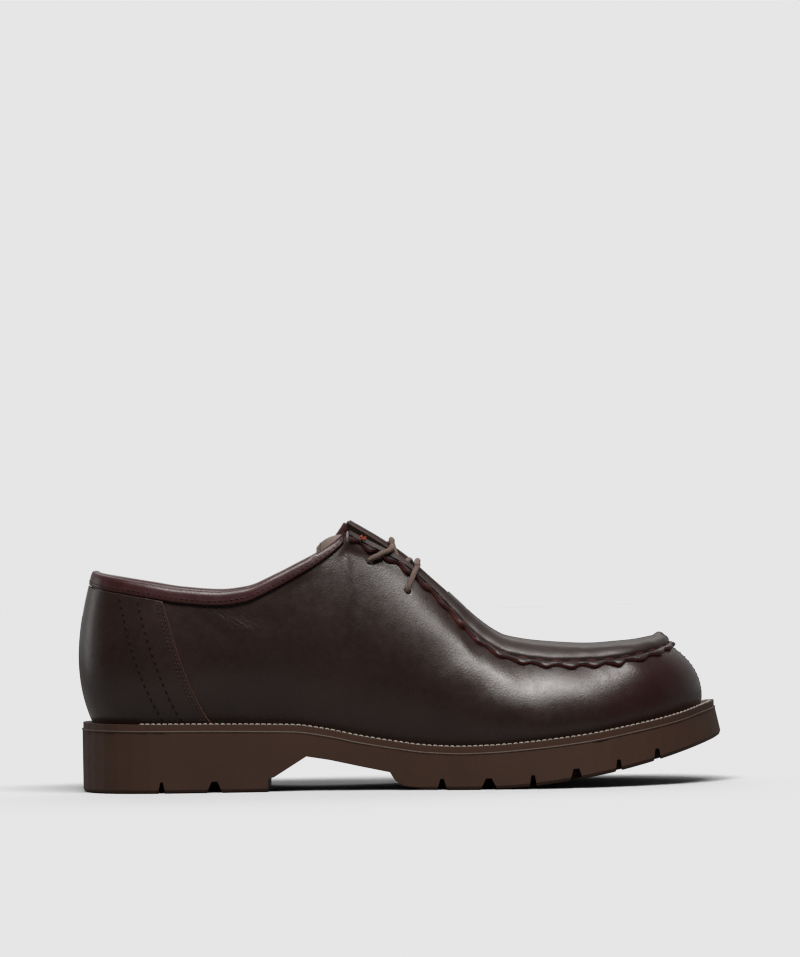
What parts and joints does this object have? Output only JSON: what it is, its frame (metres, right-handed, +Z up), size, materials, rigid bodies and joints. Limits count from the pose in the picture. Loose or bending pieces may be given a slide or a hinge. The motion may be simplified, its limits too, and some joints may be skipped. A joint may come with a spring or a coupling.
{
  "type": "apron toe derby shoe",
  "caption": "Low leather lace-up shoe with a raised apron seam, bound collar, heel counter and a lugged rubber sole with a heel block.",
  "frame": {"origin": "middle of the bounding box in plan, at the floor that the heel and forefoot stand on", "axes": "+X towards the toe, +Y towards the inner side of the foot, +Z up"},
  "size_m": [0.3012, 0.1133, 0.1253],
  "materials": {
    "sole_rubber": "matte brown moulded rubber",
    "welt_rubber": "matte brown rubber strip",
    "upper_leather": "smooth very dark brown leather, semi-gloss",
    "apron_leather": "smooth dark brown leather with reddish cut edges",
    "binding_leather": "glossy burgundy leather",
    "tongue_leather": "soft grey-brown leather",
    "lining_leather": "matte tan leather",
    "lace_cotton": "round braided cotton, matte"
  },
  "bodies": {
    "root": {"outsole": "sole_rubber", "welt": "welt_rubber", "insole": "lining_leather", "upper": "upper_leather", "heel_counter": "upper_leather", "collar_binding": "binding_leather", "apron": "apron_leather", "tongue": "tongue_leather", "lace_bar": "lace_cotton", "lace_cross": "lace_cotton"}
  },
  "joints": []
}
